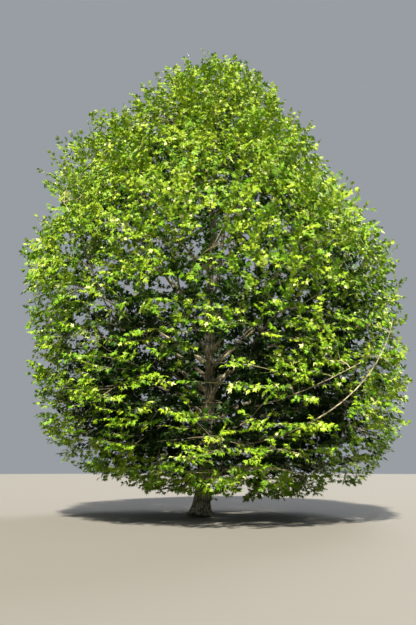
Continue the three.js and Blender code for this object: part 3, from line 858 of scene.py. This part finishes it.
# Where each leaf of some twigs sits: its root, and its across, along and off-plane steps
def place_leaves(twigs, chance):
    curves = [np.array([twig["curve"][k] for twig in twigs]) for k in range(3)]
    spans = np.array([twig["span"] for twig in twigs])
    facing = twig_facing(curves, np.array([twig["roll"] for twig in twigs]))
    count = len(twigs)
    heights = curves[-1][:, 2:]
    flutter = np.interp(heights, FLUTTER_HEIGHTS, LEAF_FLUTTER)
    inner = np.clip(crown_depth(curves[-1]) / INNER_DEPTH - 1, 0, 1)[:, None]
    grown = 1 + inner * np.interp(heights, FLUTTER_HEIGHTS, INNER_LEAF_GROWTH)
    sits = []
    for back, turn in LEAF_PLACES:
        t = np.clip(1 - back / spans, NEAREST_TO_FOOT, 1)
        root = curve_point(curves, t)
        jitter = np.radians(turn + chance.normal(0, LEAF_JITTER, count))
        way = turned(curve_way(curves, t), facing, jitter)
        way += chance.normal(0, LEAF_STRAY, (count, 3))
        way = unit(way - UP * LEAF_DROOP * chance.random((count, 1)))
        normal = facing + chance.normal(0, 1, (count, 3)) * flutter
        across = unit(np.cross(way, normal))
        normal = np.cross(across, way)
        size = LEAF_LENGTH * grown * chance.uniform(*LEAF_SIZES, (count, 1))
        wide = size * chance.uniform(*LEAF_WIDTHS, (count, 1))
        cup = size * chance.uniform(*LEAF_CUPS, (count, 1))
        sits.append(np.stack([root, across * wide, way * size, normal * cup], axis=1))
    return np.stack(sits, axis=1)


# The corners, triangles and UV places of leaves of one outline, with the first corner's number
def leaf_arrays(sits, outline, faces, first):
    root, across, along, off = (sits[:, None, k] for k in range(4))
    x, y, z = outline.T[:, None, :, None]
    corners = root + across * x + along * y + off * z
    firsts = first + np.arange(len(sits))[:, None, None] * len(outline)
    uv = np.tile(outline[:, :2] * LEAF_MAP_SCALE + LEAF_MAP_PLACE, (len(sits), 1))
    return corners.reshape(-1, 3), (faces[None] + firsts).reshape(-1, 3), uv


# One closed limb in a bmesh: a flat ring at its foot, extruded ring by ring. ring_at gives a ring's
# corners for a share along the limb, and the same corners with the limb laid out straight.
def extrude_limb(shape, laid_out, ring_at, sides, shares):
    foot = bmesh.ops.create_circle(shape, cap_ends=True, segments=sides, radius=1)["verts"]
    end = foot[0].link_faces[0]
    for step, t in enumerate(shares):
        if step:
            grown = bmesh.ops.extrude_face_region(shape, geom=[end], use_keep_orig=step == 1)
            end = next(part for part in grown["geom"] if isinstance(part, bmesh.types.BMFace))
        corners, straight = ring_at(t)
        for vertex, corner, place in zip(end.verts, corners, straight):
            vertex.co = corner / METRE
            vertex[laid_out] = place / METRE


# How far the bark stands proud at a place on the laid-out limb: long plates with furrows between
def bark_relief(place, furrow_gap, depth):
    stretched = Vector((place[0], place[1], place[2] * BARK_STRETCH)) / furrow_gap
    furrow = min(1, abs(noise.noise(stretched)) * FURROW_SLOPE)
    lump = noise.noise(stretched * LUMP_SCALE)
    return depth * (furrow - PLATE_HEIGHT + lump * LUMP_HEIGHT)


# A function that gives the rings of a limb
def limb_rings(point_at, radius_at, sides, length, shift, furrow_gap, depth, back, widen=None):
    angles = np.arange(sides) * 2 * math.pi / sides

    def ring_at(t):
        centre = point_at(t)
        along = unit(point_at(min(1, t + RING_WAY_STEP)) - point_at(max(0, t - RING_WAY_STEP)))
        side = unit(np.cross(back, along))
        across = np.cross(along, side)
        radius = radius_at(t)
        corners, straight = [], []
        for angle in angles:
            turn = side * math.cos(angle) + across * math.sin(angle)
            wide = radius * (widen(angle, t) if widen else 1)
            place = np.array([wide * math.cos(angle) + shift, wide * math.sin(angle), length * t])
            proud = bark_relief(place, furrow_gap, depth * min(1, radius / FULL_RELIEF_RADIUS))
            corners.append(centre + turn * (wide + proud))
            straight.append(place)
        return corners, straight

    return ring_at


def object_from_bmesh(name, shape, material, smooth=True):
    bmesh.ops.recalc_face_normals(shape, faces=shape.faces)
    mesh = bpy.data.meshes.new(name)
    shape.to_mesh(mesh)
    shape.free()
    mesh.polygons.foreach_set("use_smooth", [smooth] * len(mesh.polygons))
    mesh.materials.append(material)
    piece = bpy.data.objects.new(name, mesh)
    bpy.context.scene.collection.objects.link(piece)
    return piece


# The trunk, cut flat at the ground, with its lobed root flare
def make_trunk(material):
    shape = bmesh.new()
    laid_out = shape.verts.layers.float_vector.new("laid_out")

    def widen(angle, t):
        low = math.exp(-TRUNK_TOP * t / (FLARE_HEIGHT * FLARE_LOBE_FALL))
        return 1 + FLARE_LOBE_DEPTH * low * math.cos(FLARE_LOBES * angle + FLARE_LOBE_TURN)

    ring_at = limb_rings(
        lambda t: trunk_point(TRUNK_TOP * t),
        lambda t: trunk_radius(TRUNK_TOP * t),
        sides=TRUNK_SIDES,
        length=TRUNK_TOP,
        shift=0,
        furrow_gap=TRUNK_FURROW_GAP,
        depth=TRUNK_FURROW_DEPTH,
        back=np.array([0, 1, 0]),
        widen=widen,
    )
    shares = (np.arange(TRUNK_RINGS) / (TRUNK_RINGS - 1)) ** TRUNK_RING_SPREAD
    extrude_limb(shape, laid_out, ring_at, TRUNK_SIDES, shares)
    for vertex in shape.verts:
        if vertex.co.z < FLAT_CUT_UNDER / METRE:
            vertex.co.z = 0
    return object_from_bmesh("trunk_with_bark", shape, material)


# All boughs as one piece, each from just inside the trunk to where it enters its mass
def make_boughs(boughs, material):
    shape = bmesh.new()
    laid_out = shape.verts.layers.float_vector.new("laid_out")
    for k, bough in enumerate(boughs):
        ring_at = limb_rings(
            lambda t, curve=bough["points"]: curve_point(curve, t),
            bough["radius_at"],
            sides=BOUGH_SIDES,
            length=bough["span"],
            shift=k * BARK_SHIFT,
            furrow_gap=BOUGH_FURROW_GAP,
            depth=BOUGH_FURROW_DEPTH,
            back=UP,
        )
        shares = mix(bough["from"], 1, np.arange(BOUGH_RINGS) / (BOUGH_RINGS - 1))
        extrude_limb(shape, laid_out, ring_at, BOUGH_SIDES, shares)
    return object_from_bmesh("boughs_with_bark", shape, material)


# sRGB hex to the linear colour that a socket takes
def colour(hex_value):
    parts = [int(hex_value[k : k + 2], 16) / 255 for k in (1, 3, 5)]
    linear = [c / 12.92 if c <= 0.04045 else ((c + 0.055) / 1.055) ** 2.4 for c in parts]
    return (*linear, 1.0)


# A node with its settings, and a value or a link for each input
def add_node(tree, kind, inputs, **settings):
    node = tree.nodes.new(kind)
    for name, value in settings.items():
        setattr(node, name, value)
    for name, value in inputs.items():
        if isinstance(value, bpy.types.NodeSocket):
            tree.links.new(value, node.inputs[name])
        else:
            node.inputs[name].default_value = value
    return node


# A value moved from one range to another
def ranged(tree, value, old=(0, 1), new=(0, 1)):
    ends = {"From Min": old[0], "From Max": old[1], "To Min": new[0], "To Max": new[1]}
    return add_node(tree, "ShaderNodeMapRange", {"Value": value, **ends}).outputs["Result"]


# The colour at a share of the way from one to another
def mixed_colour(tree, share, low, high):
    inputs = {0: share, 6: low, 7: high}
    return add_node(tree, "ShaderNodeMix", inputs, data_type="RGBA").outputs[2]


def new_material(name):
    material = bpy.data.materials.new(name)
    material.use_nodes = True
    material.node_tree.nodes.clear()
    return material, material.node_tree


# Outer bark of a maple: grey-brown plates with dark furrows along the limb, and thin grey-green
# algae in patches. It is dry and rough, so it gives no shine.
def bark_material(name, plate, ridge, furrow, algae, gap):
    material, tree = new_material(name)
    laid = add_node(tree, "ShaderNodeAttribute", {}, attribute_name="laid_out")
    long_way = add_node(
        tree, "ShaderNodeMapping", {"Vector": laid.outputs["Vector"], "Scale": (1, 1, 0.16)}
    ).outputs["Vector"]
    plates = add_node(
        tree, "ShaderNodeTexNoise",
        {"Vector": long_way, "Scale": 1 / gap, "Detail": 5, "Roughness": 0.62, "Distortion": 0.4},
    ).outputs["Fac"]
    cracks = add_node(
        tree, "ShaderNodeTexVoronoi",
        {"Vector": long_way, "Scale": 0.9 / gap, "Randomness": 1},
        feature="DISTANCE_TO_EDGE",
    ).outputs["Distance"]
    in_crack = ranged(tree, cracks, (0, 0.16), (1, 0))
    patches = add_node(
        tree, "ShaderNodeTexNoise", {"Vector": laid.outputs["Vector"], "Scale": 2.2, "Detail": 4}
    ).outputs["Fac"]
    in_patch = ranged(tree, patches, (0.5, 0.68), (0, 0.6))
    tone = ranged(tree, plates, (0.32, 0.68))
    plated = mixed_colour(tree, tone, colour(plate), colour(ridge))
    greened = mixed_colour(tree, in_patch, plated, colour(algae))
    shown = mixed_colour(tree, in_crack, greened, colour(furrow))
    height = add_node(
        tree, "ShaderNodeMath", {0: plates, 1: in_crack}, operation="SUBTRACT"
    ).outputs["Value"]
    bump = add_node(
        tree, "ShaderNodeBump", {"Height": height, "Strength": 0.9, "Distance": gap * 0.35}
    ).outputs["Normal"]
    rough = ranged(tree, plates, new=(0.82, 0.97))
    shader = add_node(
        tree, "ShaderNodeBsdfPrincipled",
        {"Base Color": shown, "Roughness": rough, "Normal": bump, "IOR": 1.4, "Specular IOR Level": 0.3},
    )
    add_node(tree, "ShaderNodeOutputMaterial", {"Surface": shader.outputs["BSDF"]})
    return material


# Young bark of twigs: smooth, pale tan on branching ones and olive green on the last shoots, with
# paler breathing pores
def twig_material(name, dark, light, pore):
    material, tree = new_material(name)
    place = add_node(tree, "ShaderNodeTexCoord", {}).outputs["Object"]
    tone = add_node(
        tree, "ShaderNodeTexNoise", {"Vector": place, "Scale": 3.5, "Detail": 3}
    ).outputs["Fac"]
    pores = add_node(
        tree, "ShaderNodeTexVoronoi", {"Vector": place, "Scale": 90}
    ).outputs["Distance"]
    in_pore = ranged(tree, pores, (0.12, 0.3), (0.7, 0))
    wood = mixed_colour(tree, tone, colour(dark), colour(light))
    shown = mixed_colour(tree, in_pore, wood, colour(pore))
    shader = add_node(
        tree, "ShaderNodeBsdfPrincipled", {"Base Color": shown, "Roughness": 0.78, "IOR": 1.4}
    )
    add_node(tree, "ShaderNodeOutputMaterial", {"Surface": shader.outputs["BSDF"]})
    return material


# A fresh maple leaf: a thin waxy blade with five paler veins that fan out from the stalk. The wax
# gives a soft shine, and the tone shifts a little from leaf to leaf and along each blade.
def leaf_material(name, light, deep, vein):
    material, tree = new_material(name)
    place = add_node(tree, "ShaderNodeTexCoord", {}).outputs["Object"]
    flat = add_node(tree, "ShaderNodeUVMap", {}, uv_map="leaf_plane").outputs["UV"]
    from_stalk = add_node(
        tree, "ShaderNodeVectorMath", {0: flat, 1: VEINS_MEET}, operation="SUBTRACT"
    ).outputs["Vector"]
    reach = add_node(tree, "ShaderNodeSeparateXYZ", {"Vector": from_stalk})
    angle = add_node(
        tree, "ShaderNodeMath", {0: reach.outputs["X"], 1: reach.outputs["Y"]}, operation="ARCTAN2"
    ).outputs["Value"]
    fan = add_node(
        tree, "ShaderNodeMath", {0: angle, 1: VEIN_TURN}, operation="PINGPONG"
    ).outputs["Value"]
    distance = add_node(
        tree, "ShaderNodeVectorMath", {0: from_stalk}, operation="LENGTH"
    ).outputs["Value"]
    beside = add_node(
        tree, "ShaderNodeMath", {0: fan, 1: distance}, operation="MULTIPLY"
    ).outputs["Value"]
    in_vein = ranged(tree, beside, (0, 0.022), (0.75, 0))
    each = add_node(
        tree, "ShaderNodeTexNoise", {"Vector": place, "Scale": 7.5, "Detail": 2, "Roughness": 0.6}
    ).outputs["Fac"]
    tone = ranged(tree, each, (0.3, 0.7))
    blade = mixed_colour(tree, tone, colour(deep), colour(light))
    shown = mixed_colour(tree, in_vein, blade, colour(vein))
    bump = add_node(
        tree, "ShaderNodeBump", {"Height": in_vein, "Strength": 0.4, "Distance": 0.002}
    ).outputs["Normal"]
    shader = add_node(
        tree, "ShaderNodeBsdfPrincipled",
        {"Base Color": shown, "Roughness": 0.45, "Normal": bump, "IOR": 1.42, "Specular IOR Level": 0.2},
    )
    add_node(tree, "ShaderNodeOutputMaterial", {"Surface": shader.outputs["BSDF"]})
    return material


trunk_bark = bark_material("maple_trunk_bark", "#837f69", "#b9b59c", "#3a3625", "#888b66", 0.07)
bough_bark = bark_material("maple_bough_bark", "#a59c7e", "#cfc5a2", "#5c5540", "#9c9c74", 0.045)

sites = mass_sites()
boughs = [bough_limb(site, k) for k, site in enumerate(sites[:BOUGH_COUNT])]

trunk_line = [[*trunk_point(z), trunk_radius(z)] for z in np.linspace(0, TRUNK_TOP, TRUNK_POINTS)]
limbs = np.concatenate([trunk_line, *(limb_line(bough, *BOUGH_POINTS) for bough in boughs)])
seen_limbs = [seen_limb(*seen) for seen in SEEN_LIMBS]
seen_lines = [limb_line(limb, *SEEN_POINTS) for limb in seen_limbs]
seen_forks = [
    (curve_point(limb["points"], t), curve_way(limb["points"], t)) for limb in seen_limbs for t in SEEN_FORKS
]

all_twigs = []
for k in range(len(sites)):
    if k == BOUGH_COUNT:
        foot = trunk_point(TRUNK_TOP)
        heading = unit(foot - trunk_point(TRUNK_TOP - TRUNK_TIP_LENGTH))
        forks = [(trunk_point(TRUNK_TOP * t), heading) for t in FINE_TRUNK_FORKS]
    else:
        curve = boughs[k]["points"]
        foot, heading = curve[-1], curve_way(curve, 1.0)
        forks = [(curve_point(curve, t), curve_way(curve, t)) for t in FINE_BOUGH_FORKS]
    twigs = grow_twigs(k, sites, foot, heading, forks + seen_forks, limbs, seen_lines)
    set_twig_loads(twigs)
    all_twigs += twigs

mass_nodes = sorted(name for name in frame["nodes"] if name.startswith("foliage"))
bough_nodes = sorted(name for name in frame["nodes"] if name.startswith("bough"))

trunk_piece = make_trunk(trunk_bark)
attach(trunk_piece, "root")
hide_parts("trunk")

bough_piece = make_boughs(boughs + seen_limbs, bough_bark)
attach(bough_piece, "root")
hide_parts(*bough_nodes)

young_bark = twig_material("young_maple_bark", "#7f7458", "#b0a685", "#c6bc9d")
shoot_bark = twig_material("green_maple_shoot", "#5d6a2c", "#7f8a4a", "#a3a878")
branching = [twig for twig in all_twigs if twig["forks"] and twig["load"] > THICK_TWIG_LOAD]
forked = [twig for twig in all_twigs if twig["forks"] and twig["load"] <= THICK_TWIG_LOAD]
single = [twig for twig in all_twigs if not twig["forks"]]
for name, twigs, shares, sides, bark in (
    ("twigs_thick", branching, (0, 0.28, 0.53, 0.78, 1), 5, young_bark),
    ("twigs_forked", forked, (0, 0.5, 1), 3, young_bark),
    ("twigs_fine", single, (0, 1), 3, shoot_bark),
):
    corners, triangles = twig_tubes(twigs, shares, sides)
    piece = joined_object(name, corners, triangles, bark)
    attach(piece, "root")
    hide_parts(*mass_nodes)

# Leaves: one piece for each tone, with five lobes outside and three inside
chance = np.random.default_rng(LEAF_SEED)
sits = place_leaves(all_twigs, chance)
tips = np.array([twig["curve"][-1] for twig in all_twigs])
dealt = deal_tones(tips, chance)
inner = np.repeat(crown_depth(tips)[:, None] > THREE_LOBE_DEPTH, len(LEAF_PLACES), axis=1)
tones = [(name, *tone[:3]) for name, tone in LEAF_TONES.items()]
# The pale tone is partly painted glints, and the two shade tones are painted shade
tones += [("leaves_pale_and_glint", *PALE_AND_GLINT_LEAVES), ("leaves_painted_shade", *PAINTED_SHADE_LEAVES)]
tones += [("leaves_deep_painted_shade", *DEEP_PAINTED_SHADE_LEAVES)]
for k, (name, light, deep, vein) in enumerate(tones):
    outside = leaf_arrays(sits[(dealt == k) & ~inner], FIVE_LOBES, FIVE_LOBE_FACES, 0)
    inside = leaf_arrays(sits[(dealt == k) & inner], THREE_LOBES, THREE_LOBE_FACES, len(outside[0]))
    corners, triangles, uv = (np.concatenate(pair) for pair in zip(outside, inside))
    material = leaf_material(f"maple_{name}", light, deep, vein)
    piece = joined_object(name, corners, triangles, material, "leaf_plane", uv)
    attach(piece, "root")
    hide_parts(*mass_nodes)

# A plain pale floor
shape = bmesh.new()
bmesh.ops.create_circle(shape, cap_ends=True, segments=96, radius=120)
floor_material, floor_tree = new_material("pale_matte_floor")
floor_shader = add_node(
    floor_tree, "ShaderNodeBsdfPrincipled", {"Base Color": colour("#716f6a"), "Roughness": 0.95}
)
add_node(floor_tree, "ShaderNodeOutputMaterial", {"Surface": floor_shader.outputs["BSDF"]})
floor = object_from_bmesh("floor", shape, floor_material, smooth=False)
floor.location.z = -0.002

# Studio light: a pale sky all round, a key from high in front and a weak one from behind
world = bpy.data.worlds.new("studio")
bpy.context.scene.world = world
world.use_nodes = True
world.node_tree.nodes["Background"].inputs["Color"].default_value = colour("#dde4ec")
world.node_tree.nodes["Background"].inputs["Strength"].default_value = 0.44
for name, energy, spread, hue, tilt, turn in (
    ("key", 10.2, 3, "#fff7e6", 38, -6),
    ("back", 2.4, 25, "#f3f6ff", 52, 150),
):
    light = bpy.data.lights.new(name, "SUN")
    light.energy = energy
    light.angle = math.radians(spread)
    light.color = colour(hue)[:3]
    light_object = bpy.data.objects.new(name, light)
    light_object.rotation_euler = (math.radians(tilt), 0, math.radians(turn))
    bpy.context.scene.collection.objects.link(light_object)

# The camera: a 35 mm lens on a frame 36 mm long, 21 m in front of the trunk, tilted up
CAMERA_TILT = math.radians(14.2)
camera = bpy.data.cameras.new("camera")
camera.sensor_width = 36
camera.lens = 35
camera.clip_end = 500
camera_object = bpy.data.objects.new("camera", camera)
camera_object.location = EYE / METRE
camera_object.rotation_euler = (math.pi / 2 + CAMERA_TILT, 0, 0)
bpy.context.scene.collection.objects.link(camera_object)
bpy.context.scene.camera = camera_object

bpy.context.scene.view_settings.view_transform = "Standard"
